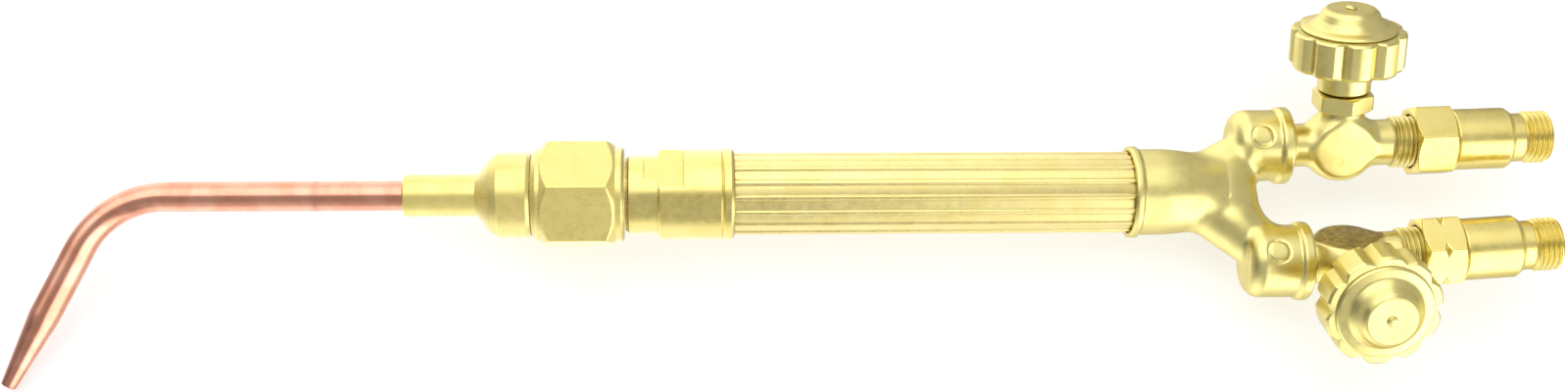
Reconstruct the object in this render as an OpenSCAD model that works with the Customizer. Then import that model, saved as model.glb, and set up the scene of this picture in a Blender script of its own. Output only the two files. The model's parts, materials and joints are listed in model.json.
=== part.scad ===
// Brass oxy-fuel hand torch with a bent copper tip, a fluted grip, a forked valve
// end, two needle valves with handwheels and two check valves with hose threads.
// +X runs along the handle from the tip to the hoses, +Z is square to the fork's
// plane on the handwheel side, +Y is the oxygen side. The origin is on the handle's
// axis, halfway along the grip.

/* [Grip] */
// Radius over the ridges of the grip
grip_r = 10.97; // [10.6:0.01:11.2]
// Wall of the grip tube
grip_wall = 1.3; // [1.1:0.1:1.5]
// Half of the visible length of the grip
grip_half = 53.3; // [50:0.1:56]
// Number of flutes round the grip
flute_count = 16; // [12:1:20]
// Depth of each flute below the ridges
flute_depth = 0.45; // [0.2:0.05:0.6]
// Turn of the ridges about the handle
flute_turn = 2.3; // [-11:0.1:11]

/* [Head] */
// Radius of the head's shoulder
head_r = 12.12; // [11.8:0.01:12.4]
// Radius of the neck behind the coupling nut
neck_r = 10.6; // [10.5:0.01:10.8]
// Distance of the wrench flats from the axis
flat_d = 10; // [9.6:0.1:10.4]
// Turn of the wrench flats from +Z towards +Y
flat_turn = 23.6; // [0:0.1:45]

/* [Coupling nut] */
// Width of the coupling nut across its flats
nut_af = 26.7; // [26:0.1:28]
// Turn of the coupling nut about the handle
nut_turn = 48.7; // [0:0.1:60]

/* [Nozzle] */
// Radius of the copper tube
tube_r = 4.05; // [3.9:0.01:4.15]
// Centreline radius of the bend
bend_r = 24.9; // [23:0.1:28]
// Angle of the bend
bend_angle = 62.4; // [50:0.1:70]
// Straight leg between the bend and the swaged end
leg_len = 19.8; // [16:0.1:22]
// Length of the swaged end
swage_len = 21; // [19:0.1:25]
// Further bend at the start of the swaged end
swage_bend = 0.5; // [0:0.1:4]
// Radius at the end of the tip
swage_r = 2; // [1.8:0.1:2.2]
// Radius of the flame orifice
orifice_r = 0.8; // [0.5:0.1:1]
// Turn of the bend's plane about the handle
tip_turn = -71.6; // [-90:0.1:90]

/* [Fork] */
// Distance of the oxygen arm from the handle's axis
oxygen_arm_y = 13.25; // [13:0.05:13.6]
// Distance of the fuel arm from the handle's axis
fuel_arm_y = -19.75; // [-20:0.05:-19.5]
// Radius of the arms
arm_r = 9.75; // [9.5:0.05:9.9]
// Radius of the collars at the ends of the arms
arm_collar_r = 10.55; // [10.3:0.05:10.8]

/* [Valves] */
// Radius of the valve body's ball
ball_r = 10.3; // [10:0.1:10.3]
// Distance of the ball's two flats from its centre
ball_flat = 6.35; // [6.2:0.05:6.4]
// Width of the packing nut across its flats
packing_af = 14.6; // [14:0.1:14.8]
// Radius over the lobes of the handwheel
wheel_r = 15.2; // [14.8:0.1:15.6]
// Number of lobes on the handwheel
lobe_count = 10; // [8:1:12]
// Radius of the handwheel's hub
wheel_hub_r = 7.05; // [6.8:0.05:7.2]
// Turn of both handwheels about their stems
wheel_turn = 14.6; // [0:0.1:36]
// Turn of both packing nuts about their stems
packing_turn = 32.3; // [0:0.1:60]

/* [Check valves] */
// Width of the union nut across its flats
union_af = 17.9; // [17.4:0.1:18]
// Turn of both union nuts about their gas lines, from +Z towards -Y
union_turn = 15.4; // [0:0.1:60]
// Radius of the check valve's round body
check_r = 8.35; // [8.2:0.05:8.5]
// Nominal radius of the 9/16-18 hose thread
hose_thread_r = 7.14; // [7.1:0.01:7.2]

/* [Hidden] */
$fn = 96;
COPPER = [0.83, 0.52, 0.42];
BRASS = [0.88, 0.80, 0.48];
DARK_BRASS = [0.74, 0.66, 0.36];
STEEL = [0.62, 0.63, 0.65];
RUBBER = [0.12, 0.12, 0.12];

// Stations along the handle
hub_front = -140.9;
hub_step = -121.8;
hub_shoulder = -116.4;
hub_back = -107.2;
nut_front = -106.9;
nut_back = -82.55;
nose_front = -96;
neck_front = -81.5;
shoulder_front = -73.4;
lip_back = -grip_half;
fork_front = grip_half;
tube_bend = -203.1;
// Lap of each straight length into a bend, and how much slimmer the bend is
joint_lap = 0.4;
joint_ease = 0.02;
bore_grip = grip_r - grip_wall;

// Fit of the mixer in the head and of the hub in the mixer
shank_r = 6.4;
socket_r = 6.7;
spigot_r = 5;
running = 0.05;
gap = 0.3;

// Side records: arm height, arm front, arm end, valve centre, turn of the stem
// from +Z, outward lean and upward lean of the gas line
OXYGEN = [oxygen_arm_y, 84, 98.4, [113.2, oxygen_arm_y + 0.27, 0.68], 48.5, 1.0, 2.6];
FUEL = [fuel_arm_y, 86.5, 100.4, [111.2, fuel_arm_y + 0.7, 0.6], -41.1, 2.6, 3.4];

// Stations along the stem, from the gas line outward
boss_top = 10.4;
hex_base = 10.6;
hex_top = 15.6;
wheel_base = 15.9;
rim_base = 22.9;
rim_top = 33.2;
cap_top = 38.9;
stem_r = 2.4;
packing_r = 4.4;

// Stations along the gas line, from the valve centre towards the hose
tail_r = 6.4;
tail_len = 7.5;
thread_start = 13.9;
valve_end = 24;
union_start = 19.2;
union_end = 30.2;
check_start = 30.5;
check_end = 46.5;
hose_start = 50.2;
hose_end = 57.2;
gas_r = 1.8;

SIDE_PARTS = ["valve_body", "packing_nut", "packing_ring", "gland_washer", "needle_stem",
    "handwheel", "knob_cap", "knob_rivet", "union_nut", "union_nipple", "check_body",
    "check_inlet", "seat_ring", "check_filter", "check_spring", "check_poppet"];

// A round solid on the X axis from an outline of [radius, station] points
module turned(outline) {
    rotate([0, 90, 0])
        rotate_extrude()
            polygon(outline);
}

// A round bar on the X axis between two stations
module bar(r, from, to) {
    translate([from, 0, 0])
        rotate([0, 90, 0])
            cylinder(r = r, h = to - from);
}

// A cone on the X axis between two stations
module cone(r1, r2, from, to) {
    translate([from, 0, 0])
        rotate([0, 90, 0])
            cylinder(r1 = r1, r2 = r2, h = to - from);
}

// A ring of round section about the X axis
module ring(r, section, at) {
    translate([at, 0, 0])
        rotate([0, 90, 0])
            rotate_extrude()
                translate([r, 0])
                    circle(r = section, $fn = 32);
}

// A hexagonal bar on the X axis whose corners are turned off at both ends
module hex_bar(af, from, to, chamfer) {
    corner = af / sqrt(3);
    intersection() {
        translate([from, 0, 0])
            rotate([0, 90, 0])
                cylinder(r = corner, h = to - from, $fn = 6);
        turned([[0, from], [corner - 2 * chamfer, from], [corner, from + chamfer],
            [corner, to - chamfer], [corner - 2 * chamfer, to], [0, to]]);
    }
}

// Places its children in a valve's own frame: X along the gas line, Z along the stem
module at_valve(side) {
    translate(side[3])
        rotate([-side[4], -side[6], side[5]])
            children();
}

// Station along a side's gas line where its arm ends
function seat(side) = side[2] - side[3][0];

// Turns an X-axis shape to the stem's axis
module on_stem() {
    rotate([0, -90, 0])
        children();
}

module handle_head() {
    groove = lip_back - 3;
    color(BRASS)
        difference() {
            turned([[0, nose_front], [9.7, nose_front], [10.3, nose_front + 0.6],
                [10.3, nut_back - 0.3], [9.9, nut_back], [9.9, neck_front],
                [neck_r, neck_front + 0.3], [neck_r, shoulder_front],
                [head_r - 0.4, shoulder_front], [head_r, shoulder_front + 0.4],
                [head_r, groove - 0.4], [head_r - 0.3, groove], [head_r + 0.18, groove + 0.4],
                [head_r + 0.18, lip_back - 0.8], [head_r - 0.5, lip_back],
                [bore_grip, lip_back], [bore_grip, lip_back + 8], [0, lip_back + 8]]);
            cone(9, socket_r, nose_front - 0.01, -91.2);
            bar(socket_r, -91.3, -71);
            bar(3, -72, lip_back + 3);
            bar(2.6, lip_back + 2, lip_back + 9);
            for (half = [0, 180])
                rotate([half - flat_turn, 0, 0])
                    translate([-77.3, -head_r, flat_d])
                        cube([10.7, 2 * head_r, 4]);
            for (turn = [45 : 90 : 315])
                rotate([turn, 0, 0])
                    translate([0, 0, 6])
                        bar(1, -68, lip_back + 9);
            for (turn = [45 : 90 : 315])
                rotate([turn, 0, 0])
                    translate([-67.5, 0, 0])
                        cylinder(r = 1, h = 6.5);
        }
}

module grip_tube() {
    // Each flute is a shallow arc that leaves a ridge at its sides
    half_pitch = 180 / flute_count;
    half_flute = grip_r * sin(half_pitch * 0.83);
    cut_r = (half_flute * half_flute + flute_depth * flute_depth) / (2 * flute_depth);
    color(BRASS)
        difference() {
            bar(grip_r, lip_back, fork_front + 6);
            bar(bore_grip, lip_back - 1, fork_front + 7);
            for (i = [0 : flute_count - 1])
                rotate([flute_turn + (i + 0.5) * 2 * half_pitch, 0, 0])
                    translate([0, 0, grip_r - flute_depth + cut_r])
                        bar(cut_r, lip_back - 1, fork_front + 7);
        }
}

module oxygen_tube() {
    color(DARK_BRASS)
        difference() {
            bar(2.55, lip_back + 3.1, fork_front + 14);
            bar(1.7, lip_back + 2, fork_front + 15);
        }
}

// One arm with its collar, open at the end for the valve body's tail
module fork_arm(side) {
    front = side[1];
    end = side[2];
    translate([0, side[0], 0])
        turned([[0, front], [6.6, front], [arm_r - 0.9, front + 0.9], [arm_r, front + 3],
            [arm_r, end - 3.8], [arm_collar_r, end - 3.4], [arm_collar_r, end - 0.8],
            [arm_collar_r - 0.8, end], [0, end]]);
}

// The branch from the stock to an arm
module fork_branch(side) {
    start = 66;
    run = side[1] + 3 - start;
    turn = atan(side[0] / run);
    translate([start, 0, 0])
        rotate([0, 0, turn])
            rotate([0, 90, 0])
                cylinder(r = 8.8, h = run / cos(turn));
}

module fork_body() {
    color(BRASS)
        difference() {
            union() {
                turned([[0, fork_front], [12.1, fork_front], [12.44, fork_front + 0.5],
                    [12.44, fork_front + 2], [11.65, fork_front + 2.5], [11.65, 71],
                    [9.5, 76], [0, 76]]);
                for (side = [OXYGEN, FUEL]) {
                    fork_branch(side);
                    fork_arm(side);
                }
            }
            bar(grip_r, fork_front - 1, fork_front + 6);
            bar(7.6, fork_front + 5.9, fork_front + 9);
            bar(2.55, fork_front + 8, fork_front + 14);
            for (side = [OXYGEN, FUEL])
                at_valve(side)
                    bar(tail_r, seat(side) - tail_len - 1, seat(side) + 2);
            // Oxygen way from the tube's seat to the oxygen arm
            translate([fork_front + 13, 0, 0])
                rotate([0, 0, atan(oxygen_arm_y / (OXYGEN[2] - fork_front - 20))])
                    bar(1.6, 0, 28);
            // Fuel way from the annular chamber to the fuel arm
            translate([fork_front + 7, -4.6, 0])
                rotate([0, 0, atan((fuel_arm_y + 4.6) / (FUEL[2] - fork_front - 14))])
                    bar(1.6, 0, 37);
        }
}

module mixer_body() {
    color(BRASS)
        difference() {
            turned([[0, nut_front - 0.1], [7.2, nut_front - 0.1], [7.2, -103.4], [9.4, -103.4],
                [9.4, -99.6], [8.5, -99.2], [8.5, nose_front + 0.2], [shank_r, -91.4],
                [shank_r, -73.4], [shank_r - 0.5, -72.9], [0, -72.9]]);
            bar(spigot_r + running, nut_front - 1, -98);
            bar(2.2, -99, -72);
            for (at = [-88, -78])
                difference() {
                    bar(shank_r + 1, at - 1, at + 1);
                    bar(shank_r - 1.7, at - 2, at + 2);
                }
        }
}

module mixer_ring_front() {
    color(RUBBER)
        ring(5.7, 0.9, -88);
}

module mixer_ring_rear() {
    color(RUBBER)
        ring(5.7, 0.9, -78);
}

module nozzle_hub() {
    color(BRASS)
        difference() {
            turned([[0, hub_front], [5.2, hub_front], [5.63, hub_front + 0.5],
                [5.63, hub_step], [6.2, hub_step + 0.6], [10.2, hub_shoulder - 1.2],
                [11.38, hub_shoulder], [11.38, hub_back - 0.9], [10.7, hub_back],
                [spigot_r, hub_back], [spigot_r, -98.4], [0, -98.4]]);
            bar(tube_r, hub_front - 1, hub_step + 4);
            bar(2.4, hub_step, -98);
        }
}

// A length of tube on the X axis between two stations
module tube(outer, inner, from, to) {
    turned([[inner, from], [outer, from], [outer, to], [inner, to]]);
}

// The bend of the copper tube, whose wall lies just inside the straight lengths' wall
module tip_bend(bore) {
    translate([tube_bend, 0, -bend_r])
        rotate([90, 0, 0])
            rotate([0, 0, 90])
                rotate_extrude(angle = bend_angle)
                    translate([bend_r, 0])
                        difference() {
                            circle(r = tube_r - joint_ease);
                            circle(r = bore + joint_ease);
                        }
}

// Places its children after the bend, with X along the leg
module at_leg() {
    translate([tube_bend - bend_r * sin(bend_angle), 0, -bend_r * (1 - cos(bend_angle))])
        rotate([0, 180 - bend_angle, 0])
            children();
}

// The swaged end, which turns a little further down at its start
module tip_swage(bore) {
    start_r = tube_r - 0.05;
    start_bore = bore + 0.05;
    at_leg()
        translate([leg_len, 0, 0])
            rotate([0, -swage_bend, 0])
                turned([[start_bore, -joint_lap], [start_r, -joint_lap], [start_r, 0],
                    [swage_r, swage_len], [orifice_r, swage_len], [start_bore, 1]]);
}

module copper_tip() {
    bore = 2.6;
    color(COPPER)
        rotate([tip_turn, 0, 0]) {
            tube(tube_r, bore, tube_bend - joint_lap, hub_step + 4);
            tip_bend(bore);
            at_leg()
                tube(tube_r, bore, -joint_lap, leg_len);
            tip_swage(bore);
        }
}

module coupling_nut() {
    color(BRASS)
        rotate([-nut_turn, 0, 0])
            difference() {
                union() {
                    turned([[0, nut_front], [11.3, nut_front], [12.5, nut_front + 1.3],
                        [12.5, nut_front + 3], [12.65, nut_back - 3], [12.65, nut_back - 0.5],
                        [12.2, nut_back], [0, nut_back]]);
                    hex_bar(nut_af, -104.4, -84.9, 1);
                }
                bar(7.28, nut_front - 1, -103);
                bar(10.6, -103.7, nut_back + 1);
            }
}

// Valve body: tail, ball with two flats, stem boss and threaded outlet
module valve_body(side) {
    start = seat(side) - tail_len;
    foot = seat(side) + 0.4;
    color(BRASS)
        at_valve(side)
            difference() {
                union() {
                    turned([[0, start], [tail_r, start], [tail_r, foot], [6.9, foot],
                        [6.9, foot + 0.5], [6.1, foot + 1.2], [6, -3], [0, -3]]);
                    intersection() {
                        rotate([90, 45, 0])
                            sphere(r = ball_r);
                        cube([3 * ball_r, 2 * ball_flat, 3 * ball_r], center = true);
                    }
                    cylinder(r = 5.9, h = boss_top);
                    turned([[0, 1], [6, 1], [6.1, 7.9], [6.5, 10.5], [6.5, thread_start],
                        [7.05, thread_start], [7.05, valve_end - 0.5], [6.55, valve_end],
                        [0, valve_end]]);
                }
                bar(gas_r, -1.6, valve_end + 1);
                cone(gas_r, 4.4, valve_end - 2.6, valve_end + 0.1);
                bar(gas_r, start - 1, -7);
                translate([-8, 0, 0])
                    rotate([0, -22, 0])
                        bar(gas_r - 0.1, 0, 7.9);
                cylinder(r = 1.2, h = 3);
                translate([0, 0, 2.2])
                    cylinder(r = 2.8, h = 4);
                translate([0, 0, 3.9])
                    cylinder(r = packing_r, h = 8);
            }
}

module packing_nut(side) {
    color(BRASS)
        at_valve(side)
            on_stem()
                difference() {
                    union() {
                        rotate([packing_turn, 0, 0])
                            hex_bar(packing_af, hex_base, hex_top, 0.6);
                        bar(packing_r, 6.6, hex_base + 0.1);
                    }
                    bar(2.7, 6, hex_top + 1);
                }
}

module packing_ring(side) {
    color([0.9, 0.9, 0.86])
        at_valve(side)
            on_stem()
                difference() {
                    bar(packing_r - 0.02, 4.5, 6.58);
                    bar(stem_r + running, 4, 7);
                }
}

module gland_washer(side) {
    color(STEEL)
        at_valve(side)
            on_stem()
                difference() {
                    bar(packing_r - 0.1, 3.92, 4.48);
                    bar(2.7, 3, 5);
                }
}

module needle_stem(side) {
    color(STEEL)
        at_valve(side)
            on_stem()
                turned([[0, 1.5], [0.5, 1.5], [1.9, 3.4], [stem_r, 3.9], [stem_r, 31.2],
                    [stem_r - 0.3, 31.5], [0, 31.5]]);
}

module handwheel(side) {
    pitch = 360 / lobe_count;
    groove_r = 3.4;
    groove_depth = 1.1;
    color(BRASS)
        at_valve(side)
            on_stem()
                difference() {
                    union() {
                        turned([[0, wheel_base], [6.6, wheel_base], [wheel_hub_r, wheel_base + 0.5],
                            [wheel_hub_r, rim_base + 1], [0, rim_base + 1]]);
                        difference() {
                            turned([[0, rim_base], [wheel_r - 0.8, rim_base],
                                [wheel_r, rim_base + 0.8], [wheel_r, rim_top - 0.5],
                                [wheel_r - 0.5, rim_top], [0, rim_top]]);
                            for (i = [0 : lobe_count - 1])
                                rotate([wheel_turn + (i + 0.5) * pitch, 0, 0])
                                    translate([0, 0, wheel_r - groove_depth + groove_r])
                                        bar(groove_r, rim_base - 1, rim_top + 1);
                        }
                    }
                    bar(stem_r + running, wheel_base - 1, 31.8);
                    bar(0.9, 31.6, rim_top + 1);
                    turned([[9, rim_base - 1], [12.6, rim_base - 1], [12, rim_base + 2],
                        [9.6, rim_base + 2]]);
                }
}

// A pressed cap: a shallow saucer with a raised dome
module knob_cap(side) {
    lift = rim_top + 0.02;
    color(BRASS)
        at_valve(side)
            on_stem()
                difference() {
                    turned([[0, lift], [13, lift], [13.1, lift + 0.4], [12.4, lift + 0.9],
                        [9.8, lift + 1.5], [8.7, lift + 3], [7.7, lift + 4.8],
                        [6.8, cap_top - 0.3], [5.9, cap_top], [0, cap_top]]);
                    bar(0.9, lift - 1, cap_top + 1);
                    turned([[1.6, lift - 1], [7.2, lift - 1], [7.2, lift + 2.2],
                        [5.6, lift + 4.2], [1.6, lift + 4.6]]);
                }
}

module knob_rivet(side) {
    color(BRASS)
        at_valve(side)
            on_stem()
                turned([[0, 32], [0.88, 32], [0.88, cap_top], [1.5, cap_top],
                    [1.4, cap_top + 0.4], [0.8, cap_top + 0.7], [0, cap_top + 0.8]]);
}

// Swivelling union nut; the fuel nut has a notch on each corner
module union_nut(side, notched) {
    corner = union_af / sqrt(3);
    middle = (union_start + union_end) / 2;
    color(BRASS)
        at_valve(side)
            rotate([side[4] + union_turn, 0, 0])
                difference() {
                    hex_bar(union_af, union_start, union_end, 0.6);
                    bar(7.35, union_start - 1, 26.9);
                    bar(4.75, 26, union_end + 1);
                    if (notched)
                        for (turn = [30 : 60 : 330])
                            rotate([turn, 0, 0])
                                translate([middle, 0, corner])
                                    rotate([0, 45, 0])
                                        cube([1.3, 8, 1.3], center = true);
                }
}

module union_nipple(side) {
    color(BRASS)
        at_valve(side)
            difference() {
                turned([[0, 22.3], [2.6, 22.3], [4, 24.1], [4, 24.6], [6.4, 24.6],
                    [6.4, 26.6], [4.4, 26.6], [4.4, 33.4], [0, 33.4]]);
                bar(gas_r, 22, 34);
            }
}

module check_body(side) {
    color(BRASS)
        at_valve(side)
            difference() {
                turned([[0, check_start], [check_r - 0.3, check_start],
                    [check_r, check_start + 0.3], [check_r, check_end - 1.2],
                    [check_r - 1, check_end], [0, check_end]]);
                bar(4.4, check_start - 1, 34);
                bar(6.3, 33.4, check_end + 1);
            }
}

module check_inlet(side) {
    thread_end = hose_end - 0.6;
    color(BRASS)
        at_valve(side)
            difference() {
                turned([[0, 45], [6.3, 45], [6.3, check_end], [6.65, check_end + 0.1],
                    [6.65, hose_start - 0.5], [hose_thread_r, hose_start],
                    [hose_thread_r, thread_end], [hose_thread_r - 0.6, hose_end],
                    [0, hose_end]]);
                bar(2.8, 44, hose_end + 1);
                cone(2.8, 4.8, hose_end - 2.4, hose_end + 0.01);
                difference() {
                    bar(4.2, 44, 45.9);
                    bar(3.0, 43, 46);
                }
            }
}

module seat_ring(side) {
    color(RUBBER)
        at_valve(side)
            ring(3.6, 0.55, 45.3);
}

module check_filter(side) {
    color([0.6, 0.45, 0.25])
        at_valve(side)
            bar(6.2, 33.5, 35);
}

// Closing spring, a wire of round section swept along a helix
module check_spring(side) {
    turns = 5;
    steps = 18;
    sides = 8;
    wire_r = 0.32;
    coil_r = 3.4;
    start = 35.4;
    rise = 6.3;
    count = turns * steps;
    points = [for (i = [0 : count], j = [0 : sides - 1])
        let (turn = i * 360 / steps, around = j * 360 / sides, r = coil_r + wire_r * cos(around))
            [start + rise * i / count + wire_r * sin(around), r * cos(turn), r * sin(turn)]];
    walls = [for (i = [0 : count - 1], j = [0 : sides - 1])
        [i * sides + j, i * sides + (j + 1) % sides,
            (i + 1) * sides + (j + 1) % sides, (i + 1) * sides + j]];
    first_cap = [for (j = [sides - 1 : -1 : 0]) j];
    last_cap = [for (j = [0 : sides - 1]) count * sides + j];
    color(STEEL)
        at_valve(side)
            polyhedron(points = points, faces = concat(walls, [first_cap], [last_cap]));
}

module check_poppet(side) {
    color(STEEL)
        at_valve(side)
            turned([[0, 38.4], [2, 38.4], [2.4, 38.8], [2.4, 42.2], [4.8, 42.2],
                [4.8, 44.1], [4.4, 44.5], [0, 44.5]]);
}

module side_part(part, side, notched) {
    if (part == "valve_body") valve_body(side);
    if (part == "packing_nut") packing_nut(side);
    if (part == "packing_ring") packing_ring(side);
    if (part == "gland_washer") gland_washer(side);
    if (part == "needle_stem") needle_stem(side);
    if (part == "handwheel") handwheel(side);
    if (part == "knob_cap") knob_cap(side);
    if (part == "knob_rivet") knob_rivet(side);
    if (part == "union_nut") union_nut(side, notched);
    if (part == "union_nipple") union_nipple(side);
    if (part == "check_body") check_body(side);
    if (part == "check_inlet") check_inlet(side);
    if (part == "seat_ring") seat_ring(side);
    if (part == "check_filter") check_filter(side);
    if (part == "check_spring") check_spring(side);
    if (part == "check_poppet") check_poppet(side);
}

handle_head();
grip_tube();
oxygen_tube();
fork_body();
mixer_body();
mixer_ring_front();
mixer_ring_rear();
nozzle_hub();
copper_tip();
coupling_nut();
for (part = SIDE_PARTS) {
    side_part(part, OXYGEN, false);
    side_part(part, FUEL, true);
}
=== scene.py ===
import json
from math import atan2, cos, pi, radians, sin, sqrt, tan

import bpy
import numpy as np
from mathutils import Matrix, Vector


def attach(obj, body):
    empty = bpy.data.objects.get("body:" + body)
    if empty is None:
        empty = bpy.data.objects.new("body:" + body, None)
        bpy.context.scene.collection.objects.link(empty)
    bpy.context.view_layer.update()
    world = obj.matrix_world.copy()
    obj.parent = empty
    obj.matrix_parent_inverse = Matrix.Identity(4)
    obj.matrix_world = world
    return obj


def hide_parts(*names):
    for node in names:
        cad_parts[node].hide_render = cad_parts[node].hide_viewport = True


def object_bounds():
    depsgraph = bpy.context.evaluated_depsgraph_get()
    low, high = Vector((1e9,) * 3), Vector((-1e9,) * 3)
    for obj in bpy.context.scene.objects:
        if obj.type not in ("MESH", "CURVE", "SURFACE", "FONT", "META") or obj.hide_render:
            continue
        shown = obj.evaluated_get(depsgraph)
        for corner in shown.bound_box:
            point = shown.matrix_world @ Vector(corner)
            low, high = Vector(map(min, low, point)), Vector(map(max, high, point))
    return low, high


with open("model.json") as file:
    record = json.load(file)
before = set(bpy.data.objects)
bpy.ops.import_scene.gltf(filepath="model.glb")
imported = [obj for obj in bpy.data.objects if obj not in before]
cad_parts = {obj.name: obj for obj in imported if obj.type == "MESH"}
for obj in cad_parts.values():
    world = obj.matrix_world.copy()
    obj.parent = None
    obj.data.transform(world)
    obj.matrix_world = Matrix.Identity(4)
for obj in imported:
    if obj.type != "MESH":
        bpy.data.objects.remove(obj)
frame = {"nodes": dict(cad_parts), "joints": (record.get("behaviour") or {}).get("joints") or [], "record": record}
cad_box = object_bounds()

# Shapes below are in millimetres, in a local frame whose X axis is the piece's own
# axis, and are turned into metres in the shared frame when their mesh is made.
MM = 0.001
TAU = 2 * pi


# ---------------------------------------------------------------- local frames
joints = {j["name"]: j for j in frame["joints"]}


def unit(v):
    v = np.asarray(v, float)
    return v / np.linalg.norm(v)


def placed(origin, x_axis, z_axis):
    """4 x 4 matrix of a local frame in the shared frame, in millimetres."""
    x_axis, z_axis = unit(x_axis), unit(z_axis)
    matrix = np.eye(4)
    matrix[:3, 0] = x_axis
    matrix[:3, 1] = np.cross(z_axis, x_axis)
    matrix[:3, 2] = z_axis
    matrix[:3, 3] = origin
    return matrix


# The handle's pieces lie along the shared frame's own X axis
HANDLE = np.eye(4)


def valve_frames(side):
    """A valve's frames: X along its gas line, and X along its stem."""
    centre = np.array(joints[f"{side}_knob_turn"]["pos_m"]) / MM
    stem = unit(joints[f"{side}_knob_turn"]["axis"])
    line = unit(joints[f"{side}_check_travel"]["axis"])
    return placed(centre, line, stem), placed(centre, stem, -line)


# ---------------------------------------------------------------- mesh building
def add_mesh(name, points, faces, matrix, body, slot, nodes, stain_and_shade=None):
    """A smooth piece from local points, which stands for CAD nodes on a body.

    Each point keeps its local place for the material, as does its mark from 0 to 1, which is
    brown oxide and, on some pieces, painted shade.
    """
    points = np.asarray(points, float)
    world = points @ matrix[:3, :3].T + matrix[:3, 3]
    mesh = bpy.data.meshes.new(name)
    mesh.from_pydata((world * MM).tolist(), [], faces)
    mesh.update()
    place = mesh.attributes.new("place", "FLOAT_VECTOR", "POINT")
    place.data.foreach_set("vector", points.astype(np.float32).ravel())
    marks = np.zeros(len(points)) if stain_and_shade is None else np.asarray(stain_and_shade, float)
    value = mesh.attributes.new("stain_and_shade", "FLOAT", "POINT")
    value.data.foreach_set("value", marks.astype(np.float32))
    mesh.polygons.foreach_set("use_smooth", np.ones(len(mesh.polygons), bool))
    piece = bpy.data.objects.new(name, mesh)
    bpy.context.scene.collection.objects.link(piece)
    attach(piece, body)
    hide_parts(*nodes)
    piece.data.materials.append(MATERIALS[slot])
    return piece


def rounded(corners, step=0.7, arc=5):
    """Dense outline through corners of (radius, station, fillet), with its fillets."""
    pts = np.array([c[:2] for c in corners], float)
    n = len(pts)
    out = []
    for i, (r, x, *rest) in enumerate(corners):
        fillet = rest[0] if rest else 0
        p = pts[i]
        a, b = pts[i - 1] - p, pts[(i + 1) % n] - p
        la, lb = np.linalg.norm(a), np.linalg.norm(b)
        if fillet <= 0 or la < 1e-9 or lb < 1e-9:
            out.append([p])
            continue
        ua, ub = a / la, b / lb
        half = np.arccos(np.clip(ua @ ub, -1, 1)) / 2
        if half > pi / 2 - 0.02:
            out.append([p])
            continue
        # A fillet takes up less than half of the side on either hand
        back = min(fillet / tan(half), 0.48 * la, 0.48 * lb)
        radius = back * tan(half)
        centre = p + unit(ua + ub) * (radius / sin(half))
        first, last = p + ua * back - centre, p + ub * back - centre
        turn = atan2(first[0] * last[1] - first[1] * last[0], first @ last)
        sweep = [np.array([[cos(turn * k / arc), -sin(turn * k / arc)],
                           [sin(turn * k / arc), cos(turn * k / arc)]]) @ first + centre
                 for k in range(arc + 1)]
        out.append(sweep)
    dense = []
    for i, group in enumerate(out):
        dense.extend(group)
        start, end = group[-1], out[(i + 1) % n][0]
        length = np.linalg.norm(end - start)
        if length > 0.25:
            # A point close to each end keeps the fillets' shading off the straight
            lead = 0.06 / length
            count = max(1, int(length / step))
            for t in [lead, *(k / count for k in range(1, count)), 1 - lead]:
                dense.append(start + (end - start) * t)
    return np.array(dense)


def ring_faces(rows, columns):
    """Quads over a grid whose rows and columns both wrap round."""
    i = np.arange(rows)[:, None]
    j = np.arange(columns)[None, :]
    i2, j2 = (i + 1) % rows, (j + 1) % columns
    quads = np.stack([i * columns + j, i2 * columns + j, i2 * columns + j2,
                      i * columns + j2], -1)
    return quads.reshape(-1, 4).tolist()


def even_angles(count):
    """Angles evenly spaced round a full turn."""
    return np.linspace(0, TAU, count + 1)[:-1]


def spin(name, outline, matrix, body, slot, nodes, shape=None, angles=None, stain_and_shade=None):
    """A piece turned about its local X axis from a closed outline of (radius, station).

    The outline runs from the near end outwards and back along the bore. shape(angle,
    station, radius) gives the radius where the piece isn't round, and angles the
    places round the axis where it is sampled.
    """
    if angles is None:
        angles = even_angles(128)
    radius, station = outline[:, 0][:, None], outline[:, 1][:, None]
    turn = np.asarray(angles)[None, :]
    r = radius + 0 * turn
    if shape is not None:
        r = shape(turn + 0 * radius, station + 0 * turn, r)
    points = np.stack([station + 0 * r, r * np.sin(turn), r * np.cos(turn)], -1)
    marks = None
    if stain_and_shade is not None:
        marks = stain_and_shade(turn + 0 * radius, station + 0 * turn, r).ravel()
    faces = ring_faces(len(outline), len(angles))
    return add_mesh(name, points.reshape(-1, 3), faces, matrix, body, slot, nodes, marks)


def near(value, centre, width):
    """1 at centre, falling smoothly to 0 a width away."""
    return np.clip(1 - np.abs(value - centre) / width, 0, 1) ** 2


def step_up(value, low, high):
    """0 up to low, rising smoothly to 1 at high."""
    t = np.clip((value - low) / (high - low), 0, 1)
    return t * t * (3 - 2 * t)


def rim_offset(angle, first, count, radius):
    """Distance along a rim from the nearest of count even places, one of them at first."""
    pitch = TAU / count
    return np.abs((angle - first + pitch / 2) % pitch - pitch / 2) * radius


def feature_angles(offsets, middle, first, count, radius):
    """Angles round a rim with count even features, closer together at their edges.

    offsets are distances along the rim on both sides of each feature's centre, and
    middle is the distance of one more place, halfway to the feature before.
    """
    half = np.array(offsets)
    row = np.concatenate([[-middle], -half[::-1], [0.0], half]) / radius
    return np.concatenate([first + TAU * k / count + row for k in range(count)])


def hex_angles(turn, per_side=40):
    """Angles round a hexagon, closer together at its corners."""
    t = (np.arange(per_side) + 0.5) / per_side * 2 - 1
    spread = np.sign(t) * np.abs(t) ** 0.62 * radians(30)
    sides = [turn + radians(30 + 60 * k) + spread for k in range(6)]
    return np.concatenate(sides)


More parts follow.
